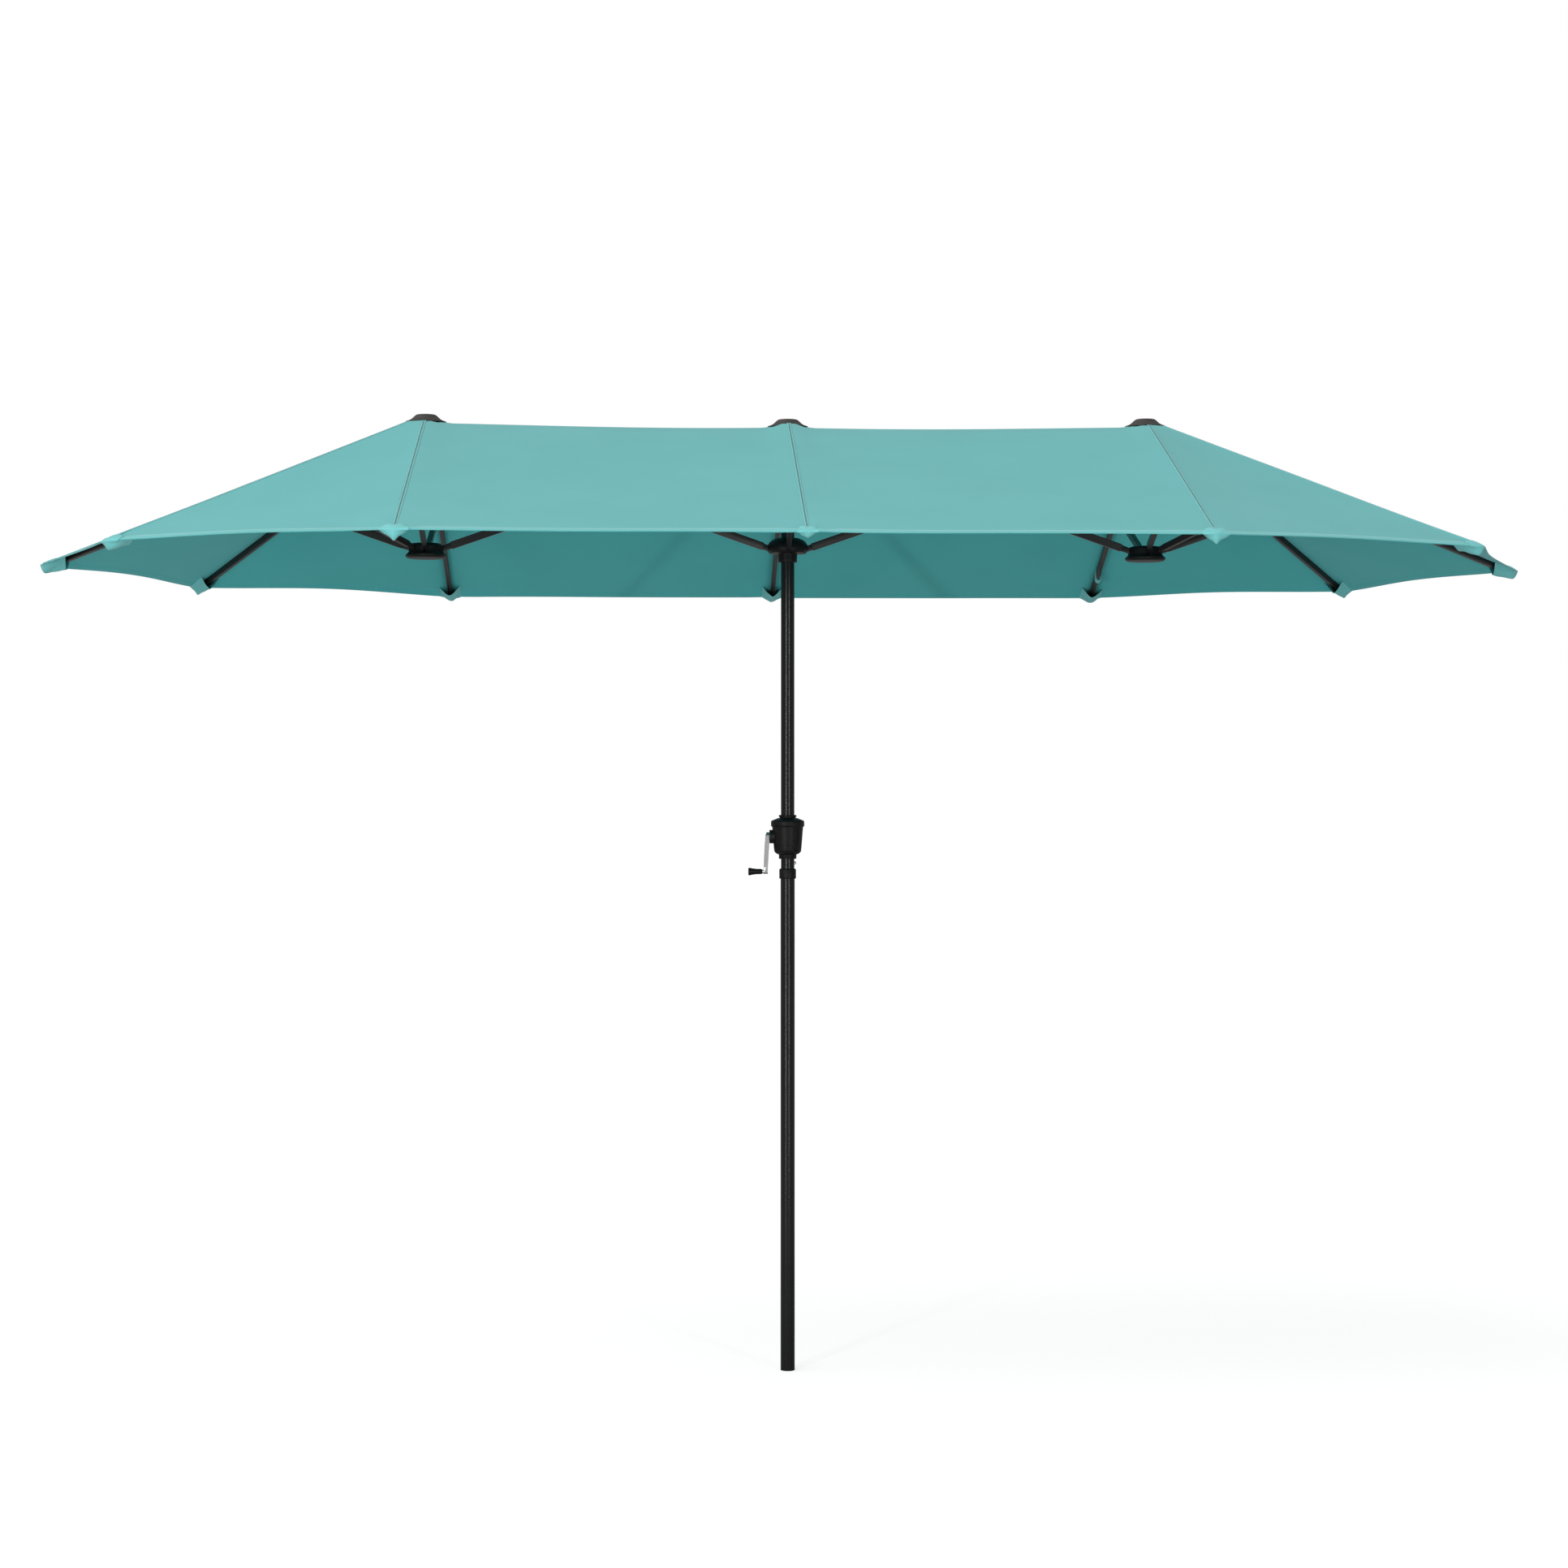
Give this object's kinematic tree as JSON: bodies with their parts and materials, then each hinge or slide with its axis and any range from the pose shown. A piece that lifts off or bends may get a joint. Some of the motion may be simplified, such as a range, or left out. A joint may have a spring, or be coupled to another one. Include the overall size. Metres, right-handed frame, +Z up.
{
  "type": "beach umbrella",
  "caption": "Long double-ended parasol with a canopy on scissor arms between side hubs, ribs and struts, raised by a crank on its pole.",
  "frame": {"origin": "centre of the pole's lower end", "axes": "+Z up the pole, +X along the canopy's long side away from the crank handle, +Y to the back"},
  "size_m": [3.9406, 2.0206, 2.541],
  "materials": {
    "pole_paint": "satin black powder coat",
    "frame_paint": "satin brown-black powder coat",
    "black_plastic": "moulded, fine grain",
    "canopy_fabric": "woven polyester, teal",
    "strap_fabric": "woven polyester, light teal",
    "crank_metal": "cast and brushed",
    "bright_steel": "zinc plated",
    "pulley_plastic": "natural nylon"
  },
  "bodies": {
    "pole": {"lower_pole": "pole_paint", "pole_collar": "black_plastic", "upper_pole": "pole_paint", "crank_housing_front": "black_plastic", "crank_housing_back": "black_plastic", "housing_screws": "bright_steel", "centre_top_hub": "black_plastic", "centre_cap": "black_plastic", "canopy_ridge": "canopy_fabric", "button_spring": "bright_steel"},
    "left_arm_down": {"left_arm_down": "frame_paint"},
    "left_arm_up": {"left_arm_up": "frame_paint"},
    "left_top_hub": {"left_top_hub": "black_plastic", "left_cap": "black_plastic", "left_crown": "canopy_fabric"},
    "left_low_hub": {"left_low_hub": "black_plastic"},
    "right_arm_down": {"right_arm_down": "frame_paint"},
    "right_arm_up": {"right_arm_up": "frame_paint"},
    "right_top_hub": {"right_top_hub": "black_plastic", "right_cap": "black_plastic", "right_crown": "canopy_fabric"},
    "right_low_hub": {"right_low_hub": "black_plastic"},
    "runner": {"runner": "black_plastic"},
    "left_front_rib": {"left_front_rib": "frame_paint"},
    "left_front_strut": {"left_front_strut": "frame_paint"},
    "left_front_corner_rib": {"left_front_corner_rib": "frame_paint", "left_front_panels": "canopy_fabric"},
    "left_front_corner_strut": {"left_front_corner_strut": "frame_paint"},
    "left_end_rib": {"left_end_rib": "frame_paint"},
    "left_end_strut": {"left_end_strut": "frame_paint"},
    "left_back_corner_rib": {"left_back_corner_rib": "frame_paint", "left_back_panels": "canopy_fabric"},
    "left_back_corner_strut": {"left_back_corner_strut": "frame_paint"},
    "left_back_rib": {"left_back_rib": "frame_paint"},
    "left_back_strut": {"left_back_strut": "frame_paint"},
    "centre_front_rib": {"centre_front_rib": "frame_paint", "centre_front_panels": "canopy_fabric"},
    "centre_front_strut": {"centre_front_strut": "frame_paint"},
    "centre_back_rib": {"centre_back_rib": "frame_paint", "centre_back_panels": "canopy_fabric"},
    "centre_back_strut": {"centre_back_strut": "frame_paint"},
    "right_front_rib": {"right_front_rib": "frame_paint"},
    "right_front_strut": {"right_front_strut": "frame_paint"},
    "right_front_corner_rib": {"right_front_corner_rib": "frame_paint", "right_front_panels": "canopy_fabric"},
    "right_front_corner_strut": {"right_front_corner_strut": "frame_paint"},
    "right_end_rib": {"right_end_rib": "frame_paint"},
    "right_end_strut": {"right_end_strut": "frame_paint"},
    "right_back_corner_rib": {"right_back_corner_rib": "frame_paint", "right_back_panels": "canopy_fabric"},
    "right_back_corner_strut": {"right_back_corner_strut": "frame_paint"},
    "right_back_rib": {"right_back_rib": "frame_paint", "tie_strap": "strap_fabric"},
    "right_back_strut": {"right_back_strut": "frame_paint"},
    "crank": {"crank_arm": "crank_metal", "crank_drum": "bright_steel"},
    "crank_knob": {"crank_knob": "black_plastic"},
    "cord_pulley": {"cord_pulley": "pulley_plastic"},
    "snap_button": {"snap_button": "bright_steel"}
  },
  "joints": [
    {"name": "frame_fold", "type": "hinge", "parent": "pole", "child": "left_arm_down", "pos_m": [-0.038, 0.007, 2.493], "axis": [0, -1, 0], "range_deg": [0, 60], "deforming": ["canopy_ridge", "left_front_panels", "left_back_panels", "centre_front_panels", "centre_back_panels", "right_front_panels", "right_back_panels"]},
    {"name": "left_arm_cross", "type": "hinge", "parent": "left_arm_down", "child": "left_arm_up", "pos_m": [-0.48, 0, 2.33908], "axis": [0, 1, 0], "range_deg": [0, 120]},
    {"name": "left_top_hub_pivot", "type": "hinge", "parent": "left_arm_up", "child": "left_top_hub", "pos_m": [-0.922, -0.007, 2.493], "axis": [0, -1, 0], "range_deg": [0, 60]},
    {"name": "left_low_hub_pivot", "type": "hinge", "parent": "left_arm_down", "child": "left_low_hub", "pos_m": [-0.922, 0.007, 2.18516], "axis": [0, 1, 0], "range_deg": [0, 60]},
    {"name": "right_arm_down_fold", "type": "hinge", "parent": "pole", "child": "right_arm_down", "pos_m": [0.038, -0.007, 2.493], "axis": [0, 1, 0], "range_deg": [0, 60]},
    {"name": "right_arm_cross", "type": "hinge", "parent": "right_arm_down", "child": "right_arm_up", "pos_m": [0.48, 0, 2.33908], "axis": [0, -1, 0], "range_deg": [0, 120]},
    {"name": "right_top_hub_pivot", "type": "hinge", "parent": "right_arm_up", "child": "right_top_hub", "pos_m": [0.922, 0.007, 2.493], "axis": [0, 1, 0], "range_deg": [0, 60]},
    {"name": "right_low_hub_pivot", "type": "hinge", "parent": "right_arm_down", "child": "right_low_hub", "pos_m": [0.922, -0.007, 2.18516], "axis": [0, -1, 0], "range_deg": [0, 60]},
    {"name": "runner_pivot", "type": "hinge", "parent": "left_arm_up", "child": "runner", "pos_m": [-0.038, -0.007, 2.18516], "axis": [0, -1, 0], "range_deg": [0, 60]},
    {"name": "left_front_rib_hinge", "type": "hinge", "parent": "left_top_hub", "child": "left_front_rib", "pos_m": [-0.96, -0.038, 2.493], "axis": [1, 0, 0], "range_deg": [0, 60]},
    {"name": "left_front_strut_hinge", "type": "hinge", "parent": "left_low_hub", "child": "left_front_strut", "pos_m": [-0.96, -0.038, 2.18516], "axis": [-1, 0, 0], "range_deg": [0, 60]},
    {"name": "left_front_corner_rib_hinge", "type": "hinge", "parent": "left_top_hub", "child": "left_front_corner_rib", "pos_m": [-0.98687, -0.02687, 2.493], "axis": [0.7071, -0.7071, 0], "range_deg": [0, 60]},
    {"name": "left_front_corner_strut_hinge", "type": "hinge", "parent": "left_low_hub", "child": "left_front_corner_strut", "pos_m": [-0.98687, -0.02687, 2.18516], "axis": [-0.7071, 0.7071, 0], "range_deg": [0, 60]},
    {"name": "left_end_rib_hinge", "type": "hinge", "parent": "left_top_hub", "child": "left_end_rib", "pos_m": [-0.998, 0, 2.493], "axis": [0, -1, 0], "range_deg": [0, 60]},
    {"name": "left_end_strut_hinge", "type": "hinge", "parent": "left_low_hub", "child": "left_end_strut", "pos_m": [-0.998, 0, 2.18516], "axis": [0, 1, 0], "range_deg": [0, 60]},
    {"name": "left_back_corner_rib_hinge", "type": "hinge", "parent": "left_top_hub", "child": "left_back_corner_rib", "pos_m": [-0.98687, 0.02687, 2.493], "axis": [-0.7071, -0.7071, 0], "range_deg": [0, 60]},
    {"name": "left_back_corner_strut_hinge", "type": "hinge", "parent": "left_low_hub", "child": "left_back_corner_strut", "pos_m": [-0.98687, 0.02687, 2.18516], "axis": [0.7071, 0.7071, 0], "range_deg": [0, 60]},
    {"name": "left_back_rib_hinge", "type": "hinge", "parent": "left_top_hub", "child": "left_back_rib", "pos_m": [-0.96, 0.038, 2.493], "axis": [-1, 0, 0], "range_deg": [0, 60]},
    {"name": "left_back_strut_hinge", "type": "hinge", "parent": "left_low_hub", "child": "left_back_strut", "pos_m": [-0.96, 0.038, 2.18516], "axis": [1, 0, 0], "range_deg": [0, 60]},
    {"name": "centre_front_rib_hinge", "type": "hinge", "parent": "pole", "child": "centre_front_rib", "pos_m": [0, -0.038, 2.493], "axis": [1, 0, 0], "range_deg": [0, 60]},
    {"name": "centre_front_strut_hinge", "type": "hinge", "parent": "runner", "child": "centre_front_strut", "pos_m": [0, -0.038, 2.18516], "axis": [-1, 0, 0], "range_deg": [0, 60]},
    {"name": "centre_back_rib_hinge", "type": "hinge", "parent": "pole", "child": "centre_back_rib", "pos_m": [0, 0.038, 2.493], "axis": [-1, 0, 0], "range_deg": [0, 60]},
    {"name": "centre_back_strut_hinge", "type": "hinge", "parent": "runner", "child": "centre_back_strut", "pos_m": [0, 0.038, 2.18516], "axis": [1, 0, 0], "range_deg": [0, 60]},
    {"name": "right_front_rib_hinge", "type": "hinge", "parent": "right_top_hub", "child": "right_front_rib", "pos_m": [0.96, -0.038, 2.493], "axis": [1, 0, 0], "range_deg": [0, 60]},
    {"name": "right_front_strut_hinge", "type": "hinge", "parent": "right_low_hub", "child": "right_front_strut", "pos_m": [0.96, -0.038, 2.18516], "axis": [-1, 0, 0], "range_deg": [0, 60]},
    {"name": "right_front_corner_rib_hinge", "type": "hinge", "parent": "right_top_hub", "child": "right_front_corner_rib", "pos_m": [0.98687, -0.02687, 2.493], "axis": [0.7071, 0.7071, 0], "range_deg": [0, 60]},
    {"name": "right_front_corner_strut_hinge", "type": "hinge", "parent": "right_low_hub", "child": "right_front_corner_strut", "pos_m": [0.98687, -0.02687, 2.18516], "axis": [-0.7071, -0.7071, 0], "range_deg": [0, 60]},
    {"name": "right_end_rib_hinge", "type": "hinge", "parent": "right_top_hub", "child": "right_end_rib", "pos_m": [0.998, 0, 2.493], "axis": [0, 1, 0], "range_deg": [0, 60]},
    {"name": "right_end_strut_hinge", "type": "hinge", "parent": "right_low_hub", "child": "right_end_strut", "pos_m": [0.998, 0, 2.18516], "axis": [0, -1, 0], "range_deg": [0, 60]},
    {"name": "right_back_corner_rib_hinge", "type": "hinge", "parent": "right_top_hub", "child": "right_back_corner_rib", "pos_m": [0.98687, 0.02687, 2.493], "axis": [-0.7071, 0.7071, 0], "range_deg": [0, 60]},
    {"name": "right_back_corner_strut_hinge", "type": "hinge", "parent": "right_low_hub", "child": "right_back_corner_strut", "pos_m": [0.98687, 0.02687, 2.18516], "axis": [0.7071, -0.7071, 0], "range_deg": [0, 60]},
    {"name": "right_back_rib_hinge", "type": "hinge", "parent": "right_top_hub", "child": "right_back_rib", "pos_m": [0.96, 0.038, 2.493], "axis": [-1, 0, 0], "range_deg": [0, 60]},
    {"name": "right_back_strut_hinge", "type": "hinge", "parent": "right_low_hub", "child": "right_back_strut", "pos_m": [0.96, 0.038, 2.18516], "axis": [1, 0, 0], "range_deg": [0, 60]},
    {"name": "crank_turn", "type": "hinge", "parent": "pole", "child": "crank", "pos_m": [-0.05, 0, 1.422], "axis": [-1, 0, 0], "range_deg": [0, 2520]},
    {"name": "knob_spin", "type": "hinge", "parent": "crank", "child": "crank_knob", "pos_m": [-0.086, 0, 1.329], "axis": [-1, 0, 0], "continuous": true},
    {"name": "pulley_turn", "type": "hinge", "parent": "pole", "child": "cord_pulley", "pos_m": [0, 0.012, 2.487], "axis": [-1, 0, 0], "range_deg": [0, 3480]},
    {"name": "button_press", "type": "slide", "parent": "pole", "child": "snap_button", "axis": [-1, 0, 0], "range_m": [0, 0.0045], "stiffness_N_per_m": 1500, "springref_m": -0.001, "deforming": ["button_spring"]}
  ],
  "couplings": [
    {"joint": "left_arm_cross", "follows": "frame_fold", "ratio": 2},
    {"joint": "left_top_hub_pivot", "follows": "frame_fold", "ratio": 1},
    {"joint": "left_low_hub_pivot", "follows": "frame_fold", "ratio": 1},
    {"joint": "right_arm_down_fold", "follows": "frame_fold", "ratio": 1},
    {"joint": "right_arm_cross", "follows": "frame_fold", "ratio": 2},
    {"joint": "right_top_hub_pivot", "follows": "frame_fold", "ratio": 1},
    {"joint": "right_low_hub_pivot", "follows": "frame_fold", "ratio": 1},
    {"joint": "runner_pivot", "follows": "frame_fold", "ratio": 1},
    {"joint": "left_front_rib_hinge", "follows": "frame_fold", "ratio": 1},
    {"joint": "left_front_strut_hinge", "follows": "frame_fold", "ratio": 1},
    {"joint": "left_front_corner_rib_hinge", "follows": "frame_fold", "ratio": 1},
    {"joint": "left_front_corner_strut_hinge", "follows": "frame_fold", "ratio": 1},
    {"joint": "left_end_rib_hinge", "follows": "frame_fold", "ratio": 1},
    {"joint": "left_end_strut_hinge", "follows": "frame_fold", "ratio": 1},
    {"joint": "left_back_corner_rib_hinge", "follows": "frame_fold", "ratio": 1},
    {"joint": "left_back_corner_strut_hinge", "follows": "frame_fold", "ratio": 1},
    {"joint": "left_back_rib_hinge", "follows": "frame_fold", "ratio": 1},
    {"joint": "left_back_strut_hinge", "follows": "frame_fold", "ratio": 1},
    {"joint": "centre_front_rib_hinge", "follows": "frame_fold", "ratio": 1},
    {"joint": "centre_front_strut_hinge", "follows": "frame_fold", "ratio": 1},
    {"joint": "centre_back_rib_hinge", "follows": "frame_fold", "ratio": 1},
    {"joint": "centre_back_strut_hinge", "follows": "frame_fold", "ratio": 1},
    {"joint": "right_front_rib_hinge", "follows": "frame_fold", "ratio": 1},
    {"joint": "right_front_strut_hinge", "follows": "frame_fold", "ratio": 1},
    {"joint": "right_front_corner_rib_hinge", "follows": "frame_fold", "ratio": 1},
    {"joint": "right_front_corner_strut_hinge", "follows": "frame_fold", "ratio": 1},
    {"joint": "right_end_rib_hinge", "follows": "frame_fold", "ratio": 1},
    {"joint": "right_end_strut_hinge", "follows": "frame_fold", "ratio": 1},
    {"joint": "right_back_corner_rib_hinge", "follows": "frame_fold", "ratio": 1},
    {"joint": "right_back_corner_strut_hinge", "follows": "frame_fold", "ratio": 1},
    {"joint": "right_back_rib_hinge", "follows": "frame_fold", "ratio": 1},
    {"joint": "right_back_strut_hinge", "follows": "frame_fold", "ratio": 1},
    {"joint": "crank_turn", "follows": "frame_fold", "ratio": 42},
    {"joint": "pulley_turn", "follows": "frame_fold", "ratio": 58}
  ]
}
